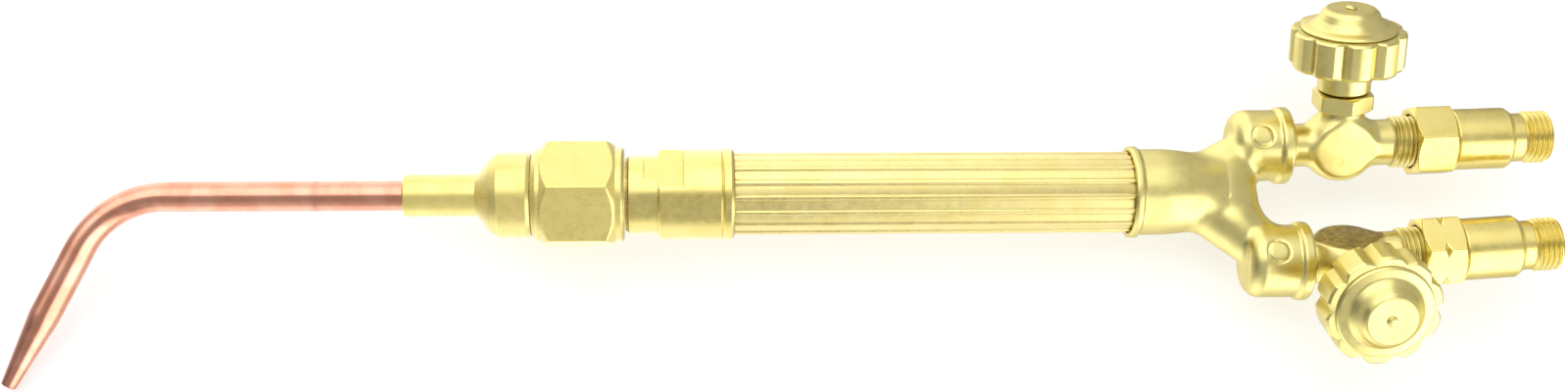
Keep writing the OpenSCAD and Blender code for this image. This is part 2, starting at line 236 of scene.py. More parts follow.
def hexagon(across, turn, soft=0.12):
    """Radius of a hexagon with slightly softened corners, one of them at turn."""
    def radius(angle):
        total = 0
        for k in range(6):
            flat = np.cos(angle - turn - radians(30 + 60 * k))
            reach = across / 2 / np.maximum(flat, 0.2)
            total = total + np.exp(-reach / soft)
        return -soft * np.log(total)
    return radius


def thread(pitch, depth, start, end, hand=1):
    """How far a helical thread's groove lies under its crest, fading at its ends."""
    def cut(angle, station):
        phase = (station / pitch - hand * angle / TAU) % 1
        groove = np.clip((1 - np.abs(2 * phase - 1)) * 1.35 - 0.18, 0, 1)
        fade = step_up(station, start, start + 0.5) * (1 - step_up(station, end - 0.5, end))
        return depth * groove * fade
    return cut


# ---------------------------------------------------------------- forged solids
def smooth_min(a, b, k):
    """The lesser of two distances, with a fillet about k wide where they meet."""
    h = np.clip(0.5 + 0.5 * (b - a) / k, 0, 1)
    return b * (1 - h) + a * h - k * h * (1 - h)


def smooth_max(a, b, k):
    """The greater of two distances, with an edge softened over about k."""
    return -smooth_min(-a, -b, k)


def barrel(p, axis, radius, low, high, edge=0.0, at=(0, 0)):
    """Distance to a cylinder along an axis, with rounded rims, centred at the other two."""
    others = [i for i in range(3) if i != axis]
    across = np.hypot(p[..., others[0]] - at[0], p[..., others[1]] - at[1]) - radius + edge
    along = np.abs(p[..., axis] - (low + high) / 2) - (high - low) / 2 + edge
    outside = np.hypot(np.maximum(across, 0), np.maximum(along, 0))
    return np.minimum(np.maximum(across, along), 0) + outside - edge


def limb(p, a, b, ra, rb):
    """Distance to a round-ended bar whose radius goes from ra to rb."""
    a, b = np.asarray(a, float), np.asarray(b, float)
    along = np.clip((p - a) @ (b - a) / ((b - a) @ (b - a)), 0, 1)
    return np.linalg.norm(p - a - along[..., None] * (b - a), axis=-1) - ra - (rb - ra) * along


def surface(field, low, high, step, relax=6):
    """Even quad mesh of the surface where field is 0, inside a box.

    Each cell that the surface crosses gets a point, at the mean of the crossings on its
    edges, and each crossed edge gets a quad. The points are then evened out and settled
    back on the surface a few times.
    """
    axes = [np.arange(lo, hi + step, step) for lo, hi in zip(low, high)]
    grid = np.stack(np.meshgrid(*axes, indexing="ij"), -1)
    value = np.stack([field(slab) for slab in grid])
    size = value.shape
    cells = tuple(n - 1 for n in size)
    total, count = np.zeros(cells + (3,)), np.zeros(cells)
    crossings = []
    for axis in range(3):
        lo = [slice(None)] * 3
        hi = [slice(None)] * 3
        lo[axis], hi[axis] = slice(0, -1), slice(1, None)
        a, b = value[tuple(lo)], value[tuple(hi)]
        where = np.argwhere((a < 0) != (b < 0))
        va, vb = a[tuple(where.T)], b[tuple(where.T)]
        point = where.astype(float)
        point[:, axis] += va / (va - vb)
        u, v = [i for i in range(3) if i != axis]
        corner = []
        for du, dv in ((0, 0), (-1, 0), (-1, -1), (0, -1)):
            cell = where.copy()
            cell[:, u] += du
            cell[:, v] += dv
            np.add.at(total, tuple(cell.T), point)
            np.add.at(count, tuple(cell.T), 1)
            corner.append(cell)
        flip = (va < 0) != (axis == 1)
        crossings.append((corner, flip))
    used = count > 0
    index = -np.ones(cells, int)
    index[used] = np.arange(used.sum())
    points = total[used] / count[used][:, None] * step + np.array([a[0] for a in axes])
    faces = []
    for corner, flip in crossings:
        quad = np.stack([index[tuple(c.T)] for c in corner], -1)
        quad[~flip] = quad[~flip][:, ::-1]
        faces.append(quad)
    faces = np.concatenate(faces)
    edges = np.concatenate([faces[:, [k, (k + 1) % 4]] for k in range(4)])
    degree = np.bincount(edges[:, 0], minlength=len(points)).astype(float)

    def settle(points):
        """Moves points onto the surface along the field's slope."""
        tiny = 0.01
        f = field(points)
        slope = np.stack([field(points + tiny * axis) - field(points - tiny * axis)
                          for axis in np.eye(3)], -1) / (2 * tiny)
        steep = np.maximum((slope ** 2).sum(-1), 0.2)
        shift = (f / steep)[:, None] * slope
        length = np.linalg.norm(shift, axis=1, keepdims=True)
        return points - shift * np.minimum(1, 0.5 * step / np.maximum(length, 1e-9))

    for _ in range(relax):
        mean = np.zeros_like(points)
        np.add.at(mean, edges[:, 0], points[edges[:, 1]])
        points = points + 0.5 * (mean / degree[:, None] - points)
        points = settle(settle(points))
    return points, faces.tolist()


# ---------------------------------------------------------------- stations, in mm
HUB_FRONT, HUB_STEP, HUB_SHOULDER, HUB_BACK = -140.9, -121.8, -116.4, -107.2
HUB_NECK_R, HUB_R, SEAT_R, SEAT_END, MIXER_R, MIXER_END = 5.63, 11.38, 7.2, -103.2, 5.0, -98.4
TUBE_R, TUBE_START, TUBE_BEND = 4.05, HUB_STEP + 4, -203.1
BEND_R, BEND_ANGLE, TIP_TURN = 24.9, radians(62.4), radians(-71.6)
NUT_FRONT, NUT_BACK = -106.9, -82.55
NOSE_FRONT, NECK_FRONT, SHOULDER = -96.0, -81.5, -73.4
NOSE_R, NECK_R, HEAD_R, HEAD_BORE_R = 10.3, 10.6, 12.12, 6.7
GRIP_HALF, GRIP_R, GRIP_END_R = 53.3, 10.97, 10.2
GRIP_BORE_R = GRIP_R - 1.3
THREAD_PITCH = 25.4 / 18


# ---------------------------------------------------------------- materials
def new_material(name):
    """A material with only its shader joined up."""
    material = bpy.data.materials.new(name)
    material.use_nodes = True
    tree = material.node_tree
    tree.nodes.clear()
    output = tree.nodes.new("ShaderNodeOutputMaterial")
    shader = tree.nodes.new("ShaderNodeBsdfPrincipled")
    tree.links.new(shader.outputs[0], output.inputs[0])
    return material, tree, shader


class Nodes:
    """Short calls that add and join shader nodes."""

    def __init__(self, tree):
        self.tree = tree

    def add(self, kind, **inputs):
        node = self.tree.nodes.new(kind)
        for key, value in inputs.items():
            self.set(node.inputs[key.replace("_", " ")], value)
        return node

    def set(self, socket, value):
        if isinstance(value, bpy.types.NodeSocket):
            self.tree.links.new(value, socket)
        else:
            socket.default_value = value

    def math(self, operation, a, b=0.0, clamp=False):
        node = self.tree.nodes.new("ShaderNodeMath")
        node.operation = operation
        node.use_clamp = clamp
        self.set(node.inputs[0], a)
        self.set(node.inputs[1], b)
        return node.outputs[0]

    def noise(self, vector, scale, detail=2.0, rough=0.5):
        return self.add("ShaderNodeTexNoise", Vector=vector, Scale=scale, Detail=detail,
                        Roughness=rough).outputs["Fac"]

    def ramp(self, value, low, high, to_low=0.0, to_high=1.0):
        node = self.tree.nodes.new("ShaderNodeMapRange")
        node.interpolation_type = "SMOOTHSTEP"
        for socket, item in zip(node.inputs, (value, low, high, to_low, to_high)):
            self.set(socket, item)
        return node.outputs[0]

    def mix(self, factor, a, b):
        node = self.tree.nodes.new("ShaderNodeMix")
        node.data_type = "RGBA"
        self.set(node.inputs[0], factor)
        self.set(node.inputs[6], a)
        self.set(node.inputs[7], b)
        return node.outputs[2]

    def vector(self, x, y, z):
        return self.add("ShaderNodeCombineXYZ", X=x, Y=y, Z=z).outputs[0]

    def bump(self, height, distance, normal=None):
        node = self.add("ShaderNodeBump", Height=height, Distance=distance)
        if normal is not None:
            self.set(node.inputs["Normal"], normal)
        return node.outputs[0]


# Widest gap that holds brown oxide, in millimetres
STAINED_GAP = 0.9


def metal(name, light, shade, rough, grain, lines, along=False, stain_and_shade=0.8, pits=0.3,
          patina=(0.16, 0.085, 0.03), dull=0.0, edge=(1.0, 1.0, 1.0)):
    """Procedural metal: two tones, grain, tool lines, pits, brown oxide in gaps and painted shade on marked
    points.

    grain and lines are the depths, in millimetres, of the surface's grain and of the
    tool lines, which run round the axis, or along it. stain_and_shade is how strong the patina
    colour is, as brown oxide in narrow gaps and as oxide and painted shade on marked points.
    dull is how much less the metal shines ahead of the handle's head. edge tints it where
    it's seen at a grazing angle.
    """
    material, tree, shader = new_material(name)
    n = Nodes(tree)
    place = n.add("ShaderNodeAttribute")
    place.attribute_name = "place"
    mark = n.add("ShaderNodeAttribute")
    mark.attribute_name = "stain_and_shade"
    parts = n.add("ShaderNodeSeparateXYZ", Vector=place.outputs["Vector"])
    x, y, z = parts.outputs
    radius = n.math("SQRT", n.math("ADD", n.math("MULTIPLY", y, y), n.math("MULTIPLY", z, z)))

    # Tool lines, as noise drawn out along them
    if along:
        angle = n.math("ARCTAN2", y, z)
        tracks = n.vector(n.math("MULTIPLY", x, 0.05), n.math("MULTIPLY", angle, 60.0), radius)
    else:
        tracks = n.vector(n.math("MULTIPLY", x, 3.0), n.math("MULTIPLY", radius, 3.0), 0.3)
    track = n.noise(tracks, 1.0, 3.0, 0.7)
    fine = n.noise(place.outputs["Vector"], 2.6, 3.0, 0.6)

    # Two tones in wide clouds and along the tool lines, and dark pits
    cloud = n.noise(place.outputs["Vector"], 0.16, 3.0, 0.55)
    colour = n.mix(n.ramp(cloud, 0.35, 0.68), (*light, 1), (*shade, 1))
    colour = n.mix(n.ramp(track, 0.45, 0.8, 0.0, 0.22), colour, (*shade, 1))
    speck = n.noise(place.outputs["Vector"], 1.15, 4.0, 0.75)
    speck = n.ramp(speck, 0.72, 0.80, 0.0, pits)
    colour = n.mix(speck, colour, (*patina, 1))

    # Patchy brown oxide in gaps, and the same colour on marked points, which is oxide on some
    # pieces and painted shade on others
    hollow = n.add("ShaderNodeAmbientOcclusion", Distance=STAINED_GAP * MM)
    hollow.samples = 6
    closed = n.ramp(hollow.outputs["AO"], 0.78, 0.25, 0.0, 1.0)
    patchy = n.ramp(n.noise(place.outputs["Vector"], 0.7, 4.0, 0.7), 0.3, 0.62, 0.6, 1.0)
    dirt_and_shade = n.math("MULTIPLY", n.math("MAXIMUM", closed, mark.outputs["Fac"]), patchy)
    dirt_and_shade = n.math("MULTIPLY", dirt_and_shade, stain_and_shade, clamp=True)
    colour = n.mix(dirt_and_shade, colour, (*patina, 1))
    n.set(shader.inputs["Base Color"], colour)

    # Clear lacquer over metal that is rougher where it's dirty and where shade is painted
    shader.inputs["Metallic"].default_value = 1.0
    shader.inputs["Specular Tint"].default_value = (*edge, 1)
    shader.inputs["Coat Weight"].default_value = 0.6
    shader.inputs["Coat Roughness"].default_value = 0.25
    shader.inputs["Coat IOR"].default_value = 1.45
    finish = n.ramp(n.noise(place.outputs["Vector"], 0.45, 4.0, 0.6), 0.3, 0.7,
                    rough - 0.045, rough + 0.055)
    finish = n.math("ADD", finish, n.math("MULTIPLY", dirt_and_shade, 0.3))
    if dull:
        ahead = n.ramp(x, NUT_BACK + 0.4, NUT_BACK)
        finish = n.math("ADD", finish, n.math("MULTIPLY", ahead, 0.05))
        n.set(shader.inputs["Metallic"], n.math("SUBTRACT", 1.0, n.math("MULTIPLY", ahead, dull)))
    n.set(shader.inputs["Roughness"], finish)
    normal = n.bump(fine, grain * MM)
    normal = n.bump(track, lines * MM, normal)
    n.set(shader.inputs["Normal"], normal)
    return material


def plain(name, colour, rough, metallic=0.0, grain=0.01, scale=3000.0):
    """Finish of a sealed inner piece: a mottled colour with a fine grain."""
    material, tree, shader = new_material(name)
    n = Nodes(tree)
    coords = n.add("ShaderNodeTexCoord").outputs["Object"]
    fine = n.noise(coords, scale, 3.0, 0.6)
    mottle = n.noise(coords, scale / 8, 3.0, 0.6)
    darker = tuple(c * 0.8 for c in colour)
    n.set(shader.inputs["Base Color"], n.mix(n.ramp(mottle, 0.35, 0.65), (*colour, 1),
                                             (*darker, 1)))
    n.set(shader.inputs["Roughness"], n.ramp(fine, 0.3, 0.7, rough - 0.06, rough + 0.08))
    shader.inputs["Metallic"].default_value = metallic
    n.set(shader.inputs["Normal"], n.bump(fine, grain * MM))
    return material


MATERIALS = {
    "machined_brass": metal("machined_brass", (0.90, 0.755, 0.26), (0.86, 0.715, 0.22),
                            0.24, 0.001, 0.001, pits=0.03, dull=0.3, stain_and_shade=1.0),
    "grip_brass": metal("grip_brass", (0.90, 0.76, 0.31), (0.86, 0.71, 0.26),
                        0.28, 0.002, 0.003, along=True, pits=0.15),
    "forged_brass": metal("forged_brass", (0.89, 0.78, 0.30), (0.83, 0.72, 0.26),
                          0.32, 0.003, 0.0, pits=0.10, stain_and_shade=0.6, edge=(0.6, 0.52, 0.32)),
    "check_brass": metal("check_brass", (0.91, 0.76, 0.26), (0.87, 0.72, 0.22),
                         0.25, 0.0008, 0.0008, pits=0.02, stain_and_shade=0.5, edge=(0.6, 0.52, 0.32)),
    "copper": metal("copper", (0.87, 0.43, 0.30), (0.76, 0.33, 0.21),
                    0.19, 0.003, 0.004, along=True, patina=(0.28, 0.10, 0.06), pits=0.10),
    "inner_brass": plain("inner_brass", (0.78, 0.62, 0.26), 0.34, 1.0),
    "steel": plain("steel", (0.62, 0.63, 0.65), 0.30, 1.0),
    "rubber": plain("rubber", (0.025, 0.025, 0.025), 0.55),
    "sealing_plastic": plain("sealing_plastic", (0.82, 0.82, 0.78), 0.45),
    "sintered_bronze": plain("sintered_bronze", (0.46, 0.30, 0.15), 0.55, 1.0, 0.05, 2200.0),
}

# Every CAD node takes its finish from the record, and those not replaced below stay so
for record_part in frame["record"]["subparts"]:
    cad_node = frame["nodes"][record_part["node"]]
    cad_node.data.materials.clear()
    cad_node.data.materials.append(MATERIALS[record_part["material_slot"]])


# ---------------------------------------------------------------- copper tip
def copper_tip():
    """The drawn tube: straight, bent, and swaged down to a blunt end with its orifice."""
    leg, swage, kink = 19.8, 21.0, radians(0.5)
    end_r, orifice, bore_r, wall = 2.0, 0.8, 2.6, 1.4
    bend_len = BEND_R * BEND_ANGLE
    straight = TUBE_START - TUBE_BEND
    bend_end = straight + bend_len
    total = bend_end + leg + swage

    def direction(s):
        """Angle of the centreline below the handle's axis at a length along it."""
        into = np.clip((s - straight) / bend_len, 0, 1)
        more = step_up(s, bend_end + leg - 3, bend_end + leg + 4)
        return into * BEND_ANGLE + more * kink

    stations = np.unique(np.concatenate([
        np.linspace(0, straight - 2, 50), np.linspace(straight - 2, bend_end + 2, 60),
        np.linspace(bend_end + 2, total - 1.2, 60), np.linspace(total - 1.2, total, 12)]))
    fine = np.linspace(0, total, 4001)
    heading = direction(fine)
    dx = np.concatenate([[0], np.cumsum(np.cos(heading[:-1]) * np.diff(fine))])
    dz = np.concatenate([[0], np.cumsum(np.sin(heading[:-1]) * np.diff(fine))])
    px = TUBE_START - np.interp(stations, fine, dx)
    pz = -np.interp(stations, fine, dz)
    angle = direction(stations)
    left = total - stations
    into_swage = step_up(stations, total - swage - 1.5, total - swage + 5)
    taper = np.clip((stations - (total - swage)) / swage, 0, 1)
    outer = TUBE_R - (TUBE_R - end_r) * (0.35 * into_swage * taper + 0.65 * taper ** 1.05)
    rim = 1 - np.clip(left / 0.6, 0, 1)
    outer = outer - 0.35 * (1 - np.sqrt(np.clip(1 - rim ** 2, 0, 1)))
    bending = step_up(stations, straight - 3, straight + 5) * (
        1 - step_up(stations, bend_end - 5, bend_end + 3))
    turns = even_angles(72)
    rows, path = [], []

    def ring(i, radius):
        """The tube's section at a station, a little flattened in the bend."""
        flat = 1 - 0.035 * bending[i]
        wide = 1 + 0.015 * bending[i]
        side = radius * np.sin(turns) * wide
        up = radius * np.cos(turns) * flat
        ax, az = -cos(angle[i]), -sin(angle[i])
        return np.stack([px[i] + up * az, side, pz[i] - up * ax], -1)

    for i in range(len(stations)):
        rows.append(ring(i, outer[i]))
        path.append(stations[i])
    for inward in (0.75, 0.5, 0.25, 0.08):
        rows.append(ring(-1, orifice + (outer[-1] - orifice) * inward))
        path.append(total)
    for i in range(len(stations) - 1, -1, -1):
        bore = min(bore_r, max(orifice, outer[i] - wall))
        if left[i] < 2.5:
            bore = orifice
        rows.append(ring(i, bore))
        path.append(stations[i])
    points = np.concatenate(rows)
    turned = np.array([[1, 0, 0], [0, cos(TIP_TURN), -sin(TIP_TURN)],
                       [0, sin(TIP_TURN), cos(TIP_TURN)]])
    matrix = np.eye(4)
    matrix[:3, :3] = turned
    path = np.repeat(path, len(turns))
    # The flame has browned the end, and there is a faint band along the straight
    heat = 0.55 * near(path, total, 5.0) + 0.5 * near(path, 46.0, 1.6)
    faces = ring_faces(len(rows), len(turns))
    piece = add_mesh("copper_tip_tube", points, faces, matrix, "nozzle", "copper",
                     ["copper_tip"], heat)
    # The material follows the tube's length, round the bend
    place = np.stack([path, np.tile(3 * np.sin(turns), len(rows)),
                      np.tile(3 * np.cos(turns), len(rows))], -1)
    piece.data.attributes["place"].data.foreach_set("vector", place.astype(np.float32).ravel())


copper_tip()


# ---------------------------------------------------------------- nozzle hub
spin("nozzle_hub_turned", rounded([
    (TUBE_R + 0.02, HUB_FRONT + 0.3, 0.05), (4.9, HUB_FRONT, 0.2),
    (HUB_NECK_R, HUB_FRONT + 0.45, 0.3), (HUB_NECK_R, HUB_STEP, 0.5), (6.3, HUB_STEP + 0.7, 0.9),
    (10.1, HUB_SHOULDER - 1.5, 1.6), (HUB_R, HUB_SHOULDER + 0.6, 0.9), (HUB_R, HUB_BACK - 0.9, 0.6),
    (10.9, HUB_BACK + 0.2, 0.25), (SEAT_R, HUB_BACK + 0.2, 0.1), (SEAT_R, SEAT_END, 0.1),
    (MIXER_R, SEAT_END, 0.1), (MIXER_R, MIXER_END, 0.3), (2.4, MIXER_END, 0.1),
    (2.4, TUBE_START + 0.1, 0), (TUBE_R + 0.02, TUBE_START, 0)]),
    HANDLE, "nozzle", "machined_brass", ["nozzle_hub"],
    stain_and_shade=lambda a, x, r: 0.9 * near(r, TUBE_R, 0.5) * near(x, HUB_FRONT, 0.6))


# ---------------------------------------------------------------- coupling nut
NUT_ACROSS, NUT_TURN, NUT_BORE_R = 26.7, radians(-11.3), 7.28
HEX_FRONT, HEX_BACK = -104.4, -84.9
nut_hex = hexagon(NUT_ACROSS, NUT_TURN)
nut_corner = NUT_ACROSS / sqrt(3) + 0.1
spin("coupling_nut_hex", rounded([
    (NUT_BORE_R, NUT_FRONT, 0.15), (11.4, NUT_FRONT, 0.5), (12.5, NUT_FRONT + 1.3, 0.5),
    (12.5, HEX_FRONT, 0.15), (13.2, HEX_FRONT + 0.05, 0.1), (nut_corner, HEX_FRONT + 2.2, 0.5),
    (nut_corner, HEX_BACK - 2.2, 0.5), (13.2, HEX_BACK - 0.05, 0.1), (12.65, HEX_BACK, 0.15),
    (12.65, NUT_BACK - 0.6, 0.3), (12.2, NUT_BACK, 0.2), (10.6, NUT_BACK, 0.1),
    (10.6, -103.6, 0.1), (NUT_BORE_R, -103.0, 0.1)], step=0.5), HANDLE, "coupling_nut",
    "machined_brass", ["coupling_nut"],
    shape=lambda a, x, r: np.minimum(r, np.where(r > 11, nut_hex(a), 99)),
    angles=hex_angles(NUT_TURN),
    stain_and_shade=lambda a, x, r: 0.75 * near(x, NUT_BACK, 0.9) * step_up(r, 10.5, 11.5))


# ---------------------------------------------------------------- handle head
FLAT_D, FLAT_TURN, FLAT_FROM, FLAT_TO = 10.0, radians(23.6), -77.3, -66.6
nose_cut = thread(THREAD_PITCH, 0.75, NOSE_FRONT + 0.5, NUT_BACK - 0.3)


def head_shape(angle, station, radius):
    """The thread on the nose, and the two wrench flats across neck and shoulder."""
    outer = radius > 9.4
    r = radius - np.where(outer & (station < NUT_BACK), nose_cut(angle, station), 0)
    turn = angle - FLAT_TURN
    flat = FLAT_D / np.maximum(np.abs(np.cos(turn)), 0.05)
    on_flat = outer & (station > FLAT_FROM) & (station < FLAT_TO)
    return np.where(on_flat, np.minimum(r, flat), r)


HEAD_GROOVE, HEAD_END = -56.35, -50.0
head_outline = rounded([
    (HEAD_BORE_R, NOSE_FRONT + 0.4, 0.1), (9.6, NOSE_FRONT, 0.3), (NOSE_R, NOSE_FRONT + 0.7, 0.2),
    (NOSE_R, NUT_BACK - 0.5, 0.2), (9.9, NUT_BACK + 0.1, 0.1), (9.9, NECK_FRONT, 0.1),
    (NECK_R, NECK_FRONT + 0.25, 0.2), (NECK_R, SHOULDER, 0.15), (HEAD_R - 0.35, SHOULDER, 0.1),
    (HEAD_R, SHOULDER + 0.4, 0.3), (HEAD_R, HEAD_GROOVE - 0.35, 0.2),
    (HEAD_R - 0.28, HEAD_GROOVE, 0.1), (HEAD_R + 0.18, HEAD_GROOVE + 0.45, 0.25),
    (HEAD_R + 0.18, -54.0, 0.4), (HEAD_R - 0.4, -GRIP_HALF, 0.2), (GRIP_BORE_R, -GRIP_HALF, 0.05),
    (GRIP_BORE_R, HEAD_END, 0.05), (HEAD_BORE_R, HEAD_END, 0.1)], step=0.12)
# Two rings close together at each end of the flats keep their steps square
flat_ends = [(r, x + step) for r, x in ((NECK_R, FLAT_FROM), (HEAD_R, FLAT_TO))
             for step in (-0.02, 0.02)]


def with_rings(outline, rings):
    """Outline with more points put in, each where the stations rise past its own."""
    for r, x in rings:
        for i in range(len(outline) - 1):
            if outline[i][1] <= x < outline[i + 1][1] and abs(outline[i][0] - r) < 0.05:
                outline = np.insert(outline, i + 1, (r, x), axis=0)
                break
    return outline


spin("handle_head_turned", with_rings(head_outline, flat_ends), HANDLE, "root",
     "machined_brass", ["handle_head"], shape=head_shape, angles=even_angles(192),
     stain_and_shade=lambda a, x, r: np.maximum(0.9 * near(x, NECK_FRONT - 0.3, 0.9) * step_up(r, 9, 9.6),
                                      0.8 * near(x, -GRIP_HALF, 0.5) * step_up(r, 10.6, 11.2)))


# ---------------------------------------------------------------- fluted grip
FLUTES, FLUTE_DEPTH, FLUTE_TURN = 16, 0.45, radians(-2.3)
RIDGE_HALF, RIDGE_FOOT = 0.36, 0.85


def grip_shape(angle, station, radius):
    """Shallow flutes between narrow flat-topped ridges."""
    off = rim_offset(angle, FLUTE_TURN, FLUTES, GRIP_R)
    across = np.clip((off - RIDGE_HALF) / (pi * GRIP_R / FLUTES - RIDGE_HALF), 0, 1)
    dip = FLUTE_DEPTH * step_up(off, RIDGE_HALF, RIDGE_FOOT)
    dip = dip * (0.86 + 0.14 * np.sin(across * pi / 2))
    return np.where(radius > GRIP_R - 0.6, radius - dip, radius)


def ridge_painted_shade(angle, station, radius):
    """Painted shade along the ridges' feet, and more of it at the grip's ends."""
    off = rim_offset(angle, FLUTE_TURN, FLUTES, GRIP_R)
    ends = near(np.abs(station), GRIP_HALF, 4.0)
    return 0.5 * near(off, RIDGE_FOOT, 0.35) + 0.4 * ends * near(off, 0.9, 0.9)


grip_angles = feature_angles([0.2, 0.38, 0.5, 0.62, 0.74, 0.86, 1.0, 1.3, 1.7], 2.1,
                             FLUTE_TURN, FLUTES, GRIP_R)
# The grip's back end is turned down, and goes into the fork
plug_r = GRIP_END_R - 0.03
spin("grip_tube_fluted", rounded([
    (GRIP_BORE_R, -GRIP_HALF, 0.05), (GRIP_R, -GRIP_HALF, 0.05), (GRIP_R, GRIP_HALF + 1.3, 0.05),
    (plug_r, GRIP_HALF + 1.4, 0.05), (plug_r, GRIP_HALF + 5.9, 0.05),
    (GRIP_BORE_R, GRIP_HALF + 5.9, 0.05)], step=1.0), HANDLE, "root", "grip_brass",
    ["grip_tube"], shape=grip_shape, angles=grip_angles, stain_and_shade=ridge_painted_shade)


# ---------------------------------------------------------------- forged fork
# Each side's arm: its y, where its cup starts and ends, how far its pad lies from the end
# and its turn from +Z, the hand of its threads, and how much painted shade its valve's flat takes
SIDES = {
    "oxygen": dict(y=13.25, cup=82.8, end=98.4, pad_back=8.9, pad=radians(-4.0), hand=1,
                   flat_painted_shade=0.0),
    "fuel": dict(y=-19.75, cup=83.4, end=100.4, pad_back=9.9, pad=radians(-1.1), hand=-1,
                 flat_painted_shade=1.3),
}
ARM_R, COLLAR_R, COLLAR_LEN, TAIL_HOLE_R = 9.75, 10.55, 3.4, 6.4
STOCK_R, STOCK_END, NARROW_FROM, NARROW_OVER, NARROW_BY = 11.65, 79.0, 61.0, 20.0, 4.2
SOCKET_R, SOCKET_LEN = 12.44, 2.3
PAD_R, PAD_HEIGHT, PAD_GROOVE = 2.85, 0.16, 0.26
MARK_X, MARK_DROP, MARK_R, MARK_DEPTH = 78.1, 0.8, 0.85, 0.16

# The view's axes: the viewer is this far round from +Z towards -Y
VIEW_TILT = radians(18.4)
up = np.array([0, cos(VIEW_TILT), sin(VIEW_TILT)])
toward = np.array([0, -sin(VIEW_TILT), cos(VIEW_TILT)])
right = np.array([1.0, 0, 0])


def fork_stock(p):
    """Distance to the stock, which narrows behind the grip and ends round."""
    x = np.maximum(p[..., 0], GRIP_HALF)
    radius = STOCK_R - NARROW_BY * np.clip((x - NARROW_FROM) / NARROW_OVER, 0, 0.9) ** 2
    beyond = np.hypot(np.maximum(x - STOCK_END, 0), p[..., 0] - x)
    return np.hypot(np.hypot(p[..., 1], p[..., 2]), beyond) - radius


def fork_branches(p):
    """Distance to the branch towards each arm, with a web in the crotch between them."""
    oxygen = limb(p, (70.0, -0.5, 0), (85.5, 9.0, 0), 8.6, 7.4)
    fuel = limb(p, (70.0, 0.5, 0), (88.0, -15.0, 0), 8.2, 7.0)
    web = limb(p, (81.6, 2.0, 0), (82.6, -8.5, 0), 6.9, 6.9)
    return smooth_min(smooth_min(oxygen, fuel, 0.8), web, 2.2)


def with_pad(body, p, side):
    """The body with a low round pad near the top of a cup, and a ring cut round the pad."""
    normal = np.array([0, sin(side["pad"]), cos(side["pad"])])
    tangent = np.array([0, cos(side["pad"]), -sin(side["pad"])])
    q = p - np.array([side["end"] - side["pad_back"], side["y"], 0])
    out, across = q @ normal, q @ tangent
    ring = np.hypot(q[..., 0], across)
    wall = np.hypot(q[..., 1], q[..., 2]) - ARM_R
    raised = np.maximum(ring - PAD_R, np.abs(wall) - PAD_HEIGHT)
    body = np.where(out > 0, smooth_min(body, raised, 0.1), body)
    groove = np.hypot(ring - PAD_R - 0.1, wall) - PAD_GROOVE
    return smooth_max(body, -np.where(out > 0, groove, 9.0), 0.12)


def fork_field(p):
    """Stock, two spreading branches, and a cup with a collar at each arm's end."""
    body = smooth_min(fork_stock(p), fork_branches(p), 2.4)
    body = np.maximum(body, GRIP_HALF + 0.2 - p[..., 0])
    for side in SIDES.values():
        nose = barrel(p, 0, ARM_R, side["cup"], 95.0, 4.0, (side["y"], 0))
        cup = barrel(p, 0, ARM_R, 87.5, side["end"] - 0.4, 0.5, (side["y"], 0))
        body = smooth_min(body, np.minimum(nose, cup), 1.5)
        collar = barrel(p, 0, COLLAR_R, side["end"] - COLLAR_LEN, side["end"], 0.75,
                        (side["y"], 0))
        body = smooth_min(body, collar, 0.35)
    socket = barrel(p, 0, SOCKET_R, GRIP_HALF, GRIP_HALF + SOCKET_LEN, 0.5)
    body = smooth_min(body, socket, 0.35)
    for side in SIDES.values():
        body = with_pad(body, p, side)
    # A small struck ring on the web
    ring = np.hypot(p[..., 0] - MARK_X, p @ up + MARK_DROP)
    mark = np.clip(1 - np.abs(ring - MARK_R) / 0.35, 0, 1)
    body = body + np.where(p[..., 2] > 0, MARK_DEPTH * mark, 0)
    # The stepped bore that the grip's end goes into, and the hole for each valve's tail
    bore = np.minimum(barrel(p, 0, GRIP_R, GRIP_HALF - 1, GRIP_HALF + 1.5),
                      barrel(p, 0, GRIP_END_R, GRIP_HALF, GRIP_HALF + 6))
    body = np.maximum(body, -bore)
    for side in SIDES.values():
        hole = barrel(p, 0, TAIL_HOLE_R, side["end"] - 8, side["end"] + 2, 0,
                      (side["y"], 0))
        body = smooth_max(body, -hole, 0.3)
    return body


def fork_body():
    points, faces = surface(fork_field, (GRIP_HALF - 1, -32, -13.5), (102, 25.5, 13.5), 0.42)
    add_mesh("fork_body_forged", points, faces, HANDLE, "root", "forged_brass", ["fork_body"])


fork_body()


# ---------------------------------------------------------------- needle valves
BALL_R, BALL_FLAT, BOSS_R, BOSS_TOP, TAIL_R, FLANGE_R = 10.2, 6.3, 5.85, 10.4, 5.9, 7.15
OUTLET_START, OUTLET_END, OUTLET_R, STEM_HOLE_R = 14.3, 24.0, 7.1, 4.4


def valve_field(side):
    """A ball with two flats, its stem boss, outlet neck and tail."""
    foot = side["foot"]

    def field(p):
        boss = barrel(p, 2, BOSS_R, 0, BOSS_TOP, 0.35)
        neck = barrel(p, 0, BALL_FLAT, 0, OUTLET_START - 0.3, 0.2)
        tail = barrel(p, 0, TAIL_R, foot, 0, 0.2)
        ball = np.linalg.norm(p, axis=-1) - BALL_R
        ball = smooth_max(ball, np.abs(p[..., 1]) - BALL_FLAT, 1.0)
        body = smooth_min(np.minimum(neck, tail), boss, 0.8)
        body = smooth_min(body, ball, 1.6)
        body = smooth_max(body, np.abs(p[..., 1]) - BALL_FLAT, 0.3)
        flange = barrel(p, 0, FLANGE_R, foot, foot + 1.0, 0.3)
        body = smooth_min(body, flange, 0.4)
        plug = barrel(p, 0, TAIL_HOLE_R, foot - 7.9, foot + 0.2, 0.3)
        body = np.minimum(body, plug)
        hole = barrel(p, 2, STEM_HOLE_R, 3.9, 12)
        return smooth_max(body, -hole, 0.25)
    return field


